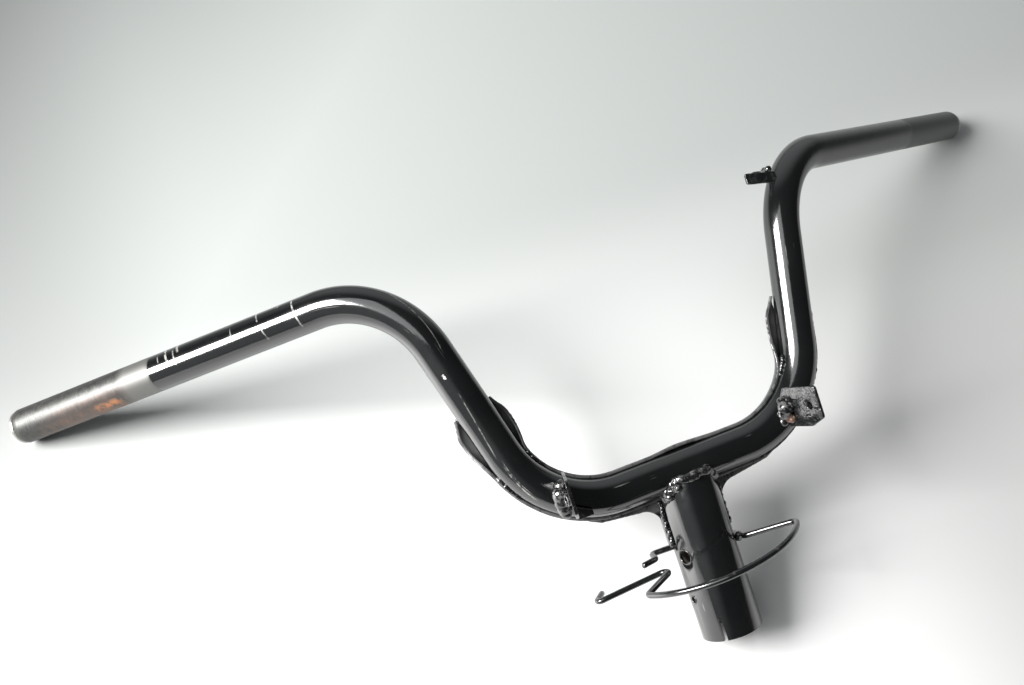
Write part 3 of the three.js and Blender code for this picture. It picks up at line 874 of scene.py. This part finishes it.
def gusset_tail():
    """The half pipe behind the stem."""
    outer = STEM_R + SHEET_GAP + SHEET
    wrap = math.radians(88)
    rings = []
    for i in range(41):
        z = lerp(-42, STEM_TOP + 0.3, i / 40)
        ring = []
        for r in (outer, STEM_R + SHEET_GAP):
            wall = []
            for j in range(49):
                a = wrap * (2 * j / 48 - 1)
                wall.append(Vector((r * math.sin(a), STEM_Y + r * math.cos(a), z)))
            ring += wall if r == outer else wall[::-1]
        rings.append(ring)
    return new_object("tail", *loft(rings))


def gusset_shoulder():
    """The slope from the band down to the tail."""
    back = STEM_Y + STEM_R + SHEET_GAP + SHEET - 0.4
    outline = [(8, 8), (13, 2), (back - 3, -7), (back, -13), (back, -20), (8, -20)]
    return extruded("shoulder", outline, -13, 13, lambda y, z, x: Vector((x, y, z)))


def gusset():
    """The pressed sheet, with its cut edges and its inside marked for the paint."""
    lower = [gusset_tail(), gusset_web(1), gusset_web(-1), gusset_shoulder()]
    body = merged("lower", lower, SHEET_VOXEL)
    cut(
        body,
        bar_room("room", BAR_R + SHEET_GAP + 0.3, 120),
        rod("stem_room", on_axis(-60), on_axis(0), STEM_R + SHEET_GAP, 96),
    )
    sheet = merged("rear_gusset_painted", [gusset_band(), body], SHEET_VOXEL)

    def joint(co):
        # Only the corner between the two half pipes is softened, and only at the back.
        near = smoothstep(co.z, -34, -22) * (1 - smoothstep(co.z, 4, 9))
        return 0.06 + 0.5 * near * smoothstep(co.y, 7, 11) * (1 - smoothstep(abs(co.x), 26, 36))

    relax(sheet, 14, joint)
    roughen(sheet, 14, 0.12, 3)
    stops = [bar_at(s)[0] for s in range(-170, 171, 3)]
    tree = KDTree(len(stops))
    for i, p in enumerate(stops):
        tree.insert(p, i)
    tree.balance()
    edge, inside = [], []
    for v in sheet.data.vertices:
        to_bar = tree.find(v.co)[0] - v.co
        near = 1 - smoothstep(to_bar.length, 19, 22)
        edge.append(smoothstep(-v.normal.y, 0.3, 0.8) * near)
        inside.append(smoothstep(v.normal.dot(to_bar.normalized()), 0.2, 0.7) * near)
    for name, values in (("edge", edge), ("inside", inside)):
        sheet.data.attributes.new(name, "FLOAT", "POINT").data.foreach_set("value", values)
    return place(sheet, SHEET_PAINT, "gusset_paint", "rear_gusset", sharp=50)


# ---- welds ---------------------------------------------------------------------------------


def ball(centre, radius):
    bm = bmesh.new()
    bmesh.ops.create_icosphere(bm, subdivisions=3, radius=radius)
    mesh = bpy.data.meshes.new("ball")
    bm.to_mesh(mesh)
    bm.free()
    mesh.transform(Matrix.Translation(centre))
    made = bpy.data.objects.new("ball", mesh)
    bpy.context.scene.collection.objects.link(made)
    return made


def weld(name, lumps, voxel, depth, seed, nodes, relaxed=4, material=WELD):
    """Lumps of weld metal (centre, radius) run into one, and roughened."""
    made = merged(name, [ball(Vector(c), r) for c, r in lumps], voxel)
    relax(made, relaxed)
    roughen(made, 4.5, depth, seed)
    return place(made, material, "weld_paint", *nodes, sharp=80)


def wobble(i, size):
    """An uneven step of at most size, that repeats each time the script runs."""
    return size * math.sin(2.4 * i + 1.3 * math.sin(1.7 * i))


def saddle_weld():
    """The bead where the stem's notch meets the bar, with bright lumps at its left end."""

    def along(count, start, end, radius, uneven):
        lumps = []
        for i in range(count):
            angle = math.radians(lerp(start, end, i / (count - 1)))
            p = on_stem(STEM_R - 0.9 + wobble(i, 0.4 * uneven), -angle, 0)
            p.z = -max(3.6, math.sqrt(max(0.0, BAR_R**2 - p.y**2))) + wobble(i + 5, 0.6 * uneven)
            lumps.append((p, radius + wobble(i + 9, 0.5 * uneven)))
        return lumps

    voxel = 0.4
    bead = along(40, -50, 76, 2.9, 0.5)
    weld("stem_saddle_weld_bead", bead, voxel, 0.5, 1, ["stem_saddle_weld"], 9)
    lumps = along(12, -84, -46, 3.1, 1.3)
    lumps += [((-15.6, -7.2, -11.5), 2.7), ((-16.6, -4.2, -14), 2.3), ((-11.2, -12.6, -7.6), 2.8)]
    weld("stem_saddle_weld_lumps", lumps, voxel, 0.8, 4, [], 5, BRIGHT_WELD)


def tail_weld(side, hand):
    """The bead down one edge of the gusset's tail."""
    lumps = []
    for i in range(15):
        z = lerp(-15, -41, i / 14)
        p = on_stem(STEM_R + 1.0 + wobble(i, 0.2), -side * math.radians(88 + wobble(i, 2)), z)
        lumps.append((p, 1.3 + wobble(i + 3, 0.3)))
    name = "gusset_tail_weld_"
    weld(name + "bead_" + hand, lumps, WELD_VOXEL, 0.3, 2 + side, [name + hand], 6, DARK_WELD)


def edge_weld(side, way, which, hand):
    """A stitch on the gusset's upper (way -1) or lower (way 1) edge."""
    lumps = []
    for i in range(11):
        s = side * lerp(97, 111, i / 10)
        p = on_bar(s, BAR_R + 0.5, way * math.radians(95 + wobble(i, 2)))
        lumps.append((p, 1.35 + wobble(i + 2, 0.2)))
    name = "gusset_{}_weld_{}".format(which, hand)
    weld(name + "_bead", lumps, WELD_VOXEL, 0.35, 4 + side + way, [name], 4, DARK_WELD)


def on_plate(side, depth, z, off=0.0):
    """A place on a cover bracket: depth to the front, z up, and off to the right of its middle."""
    x = side * (BRACKET_X + depth * math.sin(BRACKET_LEAN)) + off
    return Vector((x, -depth * math.cos(BRACKET_LEAN), z))


def bracket_weld(side, hand):
    """The lumps at a bracket's root, each a place on the plate and a radius."""
    right = [
        (12, 13, -3.6, 5.0),
        (10.6, 9.4, -4.2, 3.8),
        (10, 17, -3, 3.4),
        (9.4, 5.4, -5.4, 3.2),
        (6.4, 2.2, -5.6, 2.8),
    ]
    left = [
        (10.4, 13, -5, 5.4),
        (10.2, 9, -5.4, 5.0),
        (9.8, 5, -5.6, 4.4),
        (9.6, 17.5, -3.6, 4.0),
        (9.4, 1.8, -5.4, 3.4),
        (13.5, 9, -2.6, 3.2),
    ]
    lumps = [(on_plate(side, *where), r) for *where, r in (right if side > 0 else left)]
    name = "bracket_weld_"
    weld(name + "bead_" + hand, lumps, WELD_VOXEL, 0.2, 7 + side, [name + hand], 9, BRIGHT_WELD)


def scorch():
    """A spill of scorched weld at the root of the right bracket."""
    spots = (
        (10, 6.6, -3.6, 3.0),
        (8.6, 5.2, -4.2, 2.8),
        (12.4, 5.4, -1.8, 2.4),
        (12, 8, -2.4, 2.2),
    )
    lumps = [(on_plate(1, *where), r) for *where, r in spots]
    weld("bracket_weld_spill", lumps, WELD_VOXEL, 0.25, 9, [], 7, SCORCHED_WELD)


def tab_weld():
    """The bead where the harness tab meets the bar."""
    lumps = []
    for i, y in enumerate((-3.5, -2, -0.5, 1, 2.5)):
        p = Vector((TAB_AT.x + 13.4, TAB_AT.y + y, TAB_AT.z + 1.0 + wobble(i, 0.4)))
        lumps.append((p, 2.3 + wobble(i, 0.2)))
    weld("harness_tab_weld_bead", lumps, WELD_VOXEL, 0.4, 11, ["harness_tab_weld"])


# ---- brackets and tab ----------------------------------------------------------------------


def rounded(points, radius, steps=5):
    """An outline whose corners are cut round."""
    out = []
    n = len(points)
    for i, (x, y) in enumerate(points):
        here = Vector((x, y))
        before = (Vector(points[i - 1]) - here).normalized()
        after = (Vector(points[(i + 1) % n]) - here).normalized()
        half = before.angle(after) / 2
        back = min(radius / math.tan(half), (Vector(points[i - 1]) - here).length * 0.45)
        start, end = here + before * back, here + after * back
        for k in range(steps + 1):
            t = k / steps
            out.append(tuple(start * (1 - t) ** 2 + here * 2 * t * (1 - t) + end * t**2))
    return out


def cover_bracket(side, hand):
    """The flat plate with its screw hole, drawn out into a collar."""
    outline = rounded([(4, 1), (26, 0), (36.6, 4.4), (36.7, 24), (10.5, 25), (4, 16)], 2.2)
    body = extruded(
        "cover_bracket_plate_" + hand, outline, -1, 1, lambda d, z, off: on_plate(side, d, z, off)
    )
    hole = [on_plate(side, *BRACKET_HOLE, off) for off in (-6, 0, side * 3.3, 6)]
    collar = rod("collar", hole[1], hole[2], 3.6)
    join = body.modifiers.new("join", "BOOLEAN")
    join.object = collar
    join.operation = "UNION"
    join.solver = "EXACT"
    apply_modifiers(body)
    discard(collar)
    cut(body, rod("hole", hole[0], hole[3], BRACKET_HOLE_R))
    bevel(body, 0.45, 3, 40)
    place(body, PLATE, "bracket_paint", "cover_bracket_" + hand, sharp=35)


def bracket_foot():
    """The small wedge at the foot of the left bracket."""
    spread = [(8, 4.5, 0), (8, -4, 0), (12.5, -4, 0), (12.5, 4.5, 0)]
    narrow = [(8, -1, 10), (8, -4, 10), (12.5, -4, 10), (12.5, -1, 10)]
    rings = [[on_plate(-1, *c) for c in ring] for ring in (spread, narrow)]
    foot = new_object("cover_bracket_foot", *loft(rings))
    bevel(foot, 0.6, 3)
    place(foot, PLATE, "bracket_paint", sharp=40)


def harness_tab():
    """The small plate on the right bend, with a front flange and a collar round its hole."""

    def at(x, y, off):
        return Vector((TAB_AT.x + x, TAB_AT.y + y, TAB_AT.z + off - TAB_SLOPE * x))

    flat = rounded([(0, -6), (16, -6), (16, 2.5), (0, 2.5)], 1.6)
    top = extruded("top", flat, -1.7, 1.7, at)
    cut(top, rod("hole", at(*TAB_HOLE, -6), at(*TAB_HOLE, 6), TAB_HOLE_R, 32))
    front = rounded([(-4.4, -5.3), (16, -5.3), (16, 1.7), (-4.4, 1.7)], 1.5)
    flange = extruded("flange", front, -5.9, -3.7, lambda x, off, y: at(x, y, off))
    up = Vector((TAB_SLOPE, 0, 1)).normalized()
    collar = ring_lump("collar", at(*TAB_HOLE, 2.2), up, 2.4, 0.7)
    tab = merged("harness_tab_plate", [top, flange, collar], 0.3)
    relax(tab, 2)
    roughen(tab, 5, 0.2, 5)
    place(tab, PLATE, "bracket_paint", "harness_tab", sharp=60)


# ---- the cable guide -----------------------------------------------------------------------


def guide_route():
    """The wire's corners: short hook, run behind the stem, loop in front of it, long hook."""

    def in_loop(x, y):
        return (x, y, -53 + 0.095 * x)

    radius, mid_x, mid_y = 52.0, 0.9, -2.0
    start, turns = math.radians(-29), 3
    step = (math.radians(-156) - start) / turns
    reach = radius / math.cos(step / 2)
    loop = []
    for i in range(turns):
        a = start + step * (i + 0.5)
        loop.append((in_loop(mid_x + reach * math.cos(a), mid_y + reach * math.sin(a)), radius))
    corners = [
        ((-38.5, 8.6, -48), 0),
        ((-29, 12, -48), 3),
        ((-26.5, 25, -48), 4),
        ((22.4, 25, -50), 7),
        (in_loop(22, -2.4), 9),
        (in_loop(48.5, -23.3), 4),
        *loop,
        (in_loop(-49.4, -15.2), 3.5),
        (in_loop(-20.9, 6.5), 4.4),
        (in_loop(-72.4, 15.2), 3),
        (in_loop(-63.5, 26.6), 0),
    ]
    return Route(corners, (0, 0, 1))


def cable_guide():
    """The bent wire, not quite straight, with rounded ends, and the lumps that hold it."""
    # Unseeded, noise_vector follows the clock.
    noise.seed_set(7)
    route = guide_route()
    rings = []
    for s in route.stops(3.0, 0.8):
        p, _, u, v = route.at(s)
        p = p + Vector(noise.noise_vector(p / 30)) * 0.25
        rings.append(circle(p, u, v, WIRE_R, WIRE_SIDES))
    for way in (-1, 1):
        p, t, u, v = route.at(0 if way < 0 else route.length)
        caps = []
        for share in (0.02, 0.35, 0.7, 0.9):
            out = 0.8 * math.sqrt(1 - share * share) * 0.9
            radius = WIRE_R * (0.45 + 0.55 * share)
            caps.append(circle(p + t * way * out, u, v, radius, WIRE_SIDES))
        rings = caps + rings if way < 0 else rings + caps[::-1]
    wire = new_object("cable_guide_wire", *loft(rings))
    place(wire, WIRE, "wire_paint", "cable_guide", sharp=60)
    for hand, at in (("left", (-9, 22.6, -48.4)), ("right", (20.4, 0.3, -50.4))):
        lumps = []
        for i in range(5):
            p = Vector(at) + Vector((0, wobble(i, 2.4), wobble(i + 4, 1.2)))
            lumps.append((p, 2.5 + wobble(i, 0.3)))
        weld("guide_weld_bead_" + hand, lumps, WELD_VOXEL, 0.5, 13, ["guide_weld_" + hand])


# ---- end inserts ---------------------------------------------------------------------------


def end_insert(side, hand):
    end, t, u, low = bar_at(side * HALF_BAR.length)
    out = t * side
    # (depth in from the end, radius) of the turned profile, from the bore's floor outwards
    profile = (
        [(12, 0.01), (12, 3.0), (0.9, 3.0), (0.4, 3.5), (0.4, 6.9), (1.0, 7.2), (1.0, 7.9)]
        + [(0.1, 8.3), (0.0, 8.6), (0.0, 9.9), (0.5, 10.5), (1.9, 10.5), (2.1, 10.1)]
        + [(2.4, 9.9), (2.5, 8.9), (16, 8.9)]
    )
    rings = [circle(end - out * depth, u, low, r, 96) for depth, r in profile]
    piece = new_object("end_insert_turned_" + hand, *loft(rings, caps=False))
    place(piece, TURNED, "insert_steel", "end_insert_" + hand, sharp=30)


handlebar()
stem()
hole_lips()
gusset()
saddle_weld()
bracket_foot()
harness_tab()
tab_weld()
scorch()
cable_guide()
for side, hand in ((-1, "left"), (1, "right")):
    tail_weld(side, hand)
    edge_weld(side, -1, "upper", hand)
    edge_weld(side, 1, "lower", hand)
    cover_bracket(side, hand)
    bracket_weld(side, hand)
    end_insert(side, hand)

# ---- table, light and camera ---------------------------------------------------------------


def table_paint():
    """Pale paint, with painted shade that darkens it to the back, the left, the left back corner
    and the right front.
    """
    m = Shader("table_top")
    split = m.node("ShaderNodeSeparateXYZ", Vector=m.place)
    x, y = split.outputs["X"], split.outputs["Y"]

    def fall(value, start, end, depth, kind="SMOOTHSTEP"):
        """1 up to start, less depth from end on."""
        made = m.node("ShaderNodeMapRange", {"interpolation_type": kind}, Value=value)
        for key, level in (
            ("From Min", start),
            ("From Max", end),
            ("To Min", 1),
            ("To Max", 1 - depth),
        ):
            made.inputs[key].default_value = level
        return made.outputs[0]

    def rest(value):
        return m.math("SUBTRACT", 1.0, value)

    # Painted shade: the way the light falls off across the table, painted into its colour as
    # factors that darken it.
    back = fall(y, -0.02, 0.2, 0.45)
    corner = fall(m.math("SUBTRACT", y, x), 0.43, 0.86, 0.7, "LINEAR")
    right = m.math("MULTIPLY", rest(fall(x, 0.05, 0.24, 0.3)), fall(y, 0.05, 0.15, 1.0))
    left = fall(m.math("SUBTRACT", 0.0, x), 0.2, 0.4, 0.36)
    shade = m.math("MULTIPLY", back, corner)
    shade = m.math("MULTIPLY", shade, rest(right))
    shade = m.math("MULTIPLY", shade, left)
    stain = m.ramp(m.noise(0.012, 4.0, 0.6), (0.68, 0), (0.8, 1))
    # The pale colour turns slightly bluer towards the back.
    pale = m.mix(rest(fall(y, -0.1, 0.3, 1.0)), (0.86, 0.865, 0.86), (0.825, 0.865, 0.848))
    pale = m.mix(m.math("MULTIPLY", stain, 0.12), pale, (0.5, 0.47, 0.42))
    return m.finish(
        Base_Color=m.mix(shade, (0, 0, 0), pale),
        Roughness=0.5,
        IOR=2.3,
        Normal=m.bump(m.noise(0.004, 3.0), 0.0001, 0.3),
    )


def table():
    half = TABLE_HALF
    mesh = bpy.data.meshes.new("table")
    corners = [(-half, -half, 0), (half, -half, 0), (half, half, 0), (-half, half, 0)]
    mesh.from_pydata(corners, [], [(0, 1, 2, 3)])
    top = bpy.data.objects.new("table", mesh)
    bpy.context.scene.collection.objects.link(top)
    mesh.materials.append(table_paint())


def window_light(name, at, aim, width, height, power, color):
    data = bpy.data.lights.new(name, "AREA")
    data.shape = "RECTANGLE"
    data.size, data.size_y = width, height
    data.energy = power
    data.color = color
    lamp = bpy.data.objects.new(name, data)
    bpy.context.scene.collection.objects.link(lamp)
    lamp.location = at
    lamp.rotation_euler = (Vector(aim) - Vector(at)).to_track_quat("-Z", "Y").to_euler()


def room():
    """A room that is dark overhead and to the right, with a pale wall to the left and behind."""
    world = bpy.data.worlds.new("room")
    world.use_nodes = True
    tree = world.node_tree
    direction = tree.nodes.new("ShaderNodeTexCoord").outputs["Generated"]
    dark = 0.045
    level = None
    for toward, narrow, strength in (
        ((-0.91, -0.24, 0.34), 0.96, 0.3),
        ((0.35, 0.92, 0.15), 0.95, 0.4),
    ):
        facing = tree.nodes.new("ShaderNodeVectorMath")
        facing.operation = "DOT_PRODUCT"
        facing.inputs[1].default_value = toward
        wall = tree.nodes.new("ShaderNodeMapRange")
        wall.interpolation_type = "SMOOTHSTEP"
        for key, value in (("From Min", 0.55), ("From Max", narrow), ("To Max", strength)):
            wall.inputs[key].default_value = value
        total = tree.nodes.new("ShaderNodeMath")
        total.inputs[1].default_value = dark
        tree.links.new(direction, facing.inputs[0])
        tree.links.new(facing.outputs["Value"], wall.inputs["Value"])
        tree.links.new(wall.outputs[0], total.inputs[0])
        if level is not None:
            tree.links.new(level, total.inputs[1])
        level = total.outputs[0]
    background = tree.nodes["Background"]
    background.inputs["Color"].default_value = (0.94, 0.98, 1.0, 1)
    tree.links.new(level, background.inputs["Strength"])
    bpy.context.scene.world = world


def look():
    """The camera, above and in front of the stem's left."""
    data = bpy.data.cameras.new("camera")
    data.sensor_width = 36.0
    data.lens = 38.67
    data.clip_start = 0.01
    camera = bpy.data.objects.new("camera", data)
    bpy.context.scene.collection.objects.link(camera)
    right = Vector((0.9154, -0.3959, 0.0724)).normalized()
    forward = Vector((0.25, 0.4181, -0.8733)).normalized()
    turn = Matrix((right, right.cross(forward), -forward)).transposed().to_4x4()
    camera.matrix_world = Matrix.Translation((-0.2309, -0.22684, 0.66354)) @ turn
    bpy.context.scene.camera = camera
    bpy.context.scene.view_settings.view_transform = "Standard"


table()
window_light("window", (-1.75, 0.35, 1.25), (0, 0, 0.05), 0.95, 1.15, 124, (1.0, 0.995, 0.98))
window_light("glow", (-1.1, 0.1, 1.9), (0, 0, 0), 1.6, 1.2, 10, (0.97, 0.99, 1.0))
room()
look()
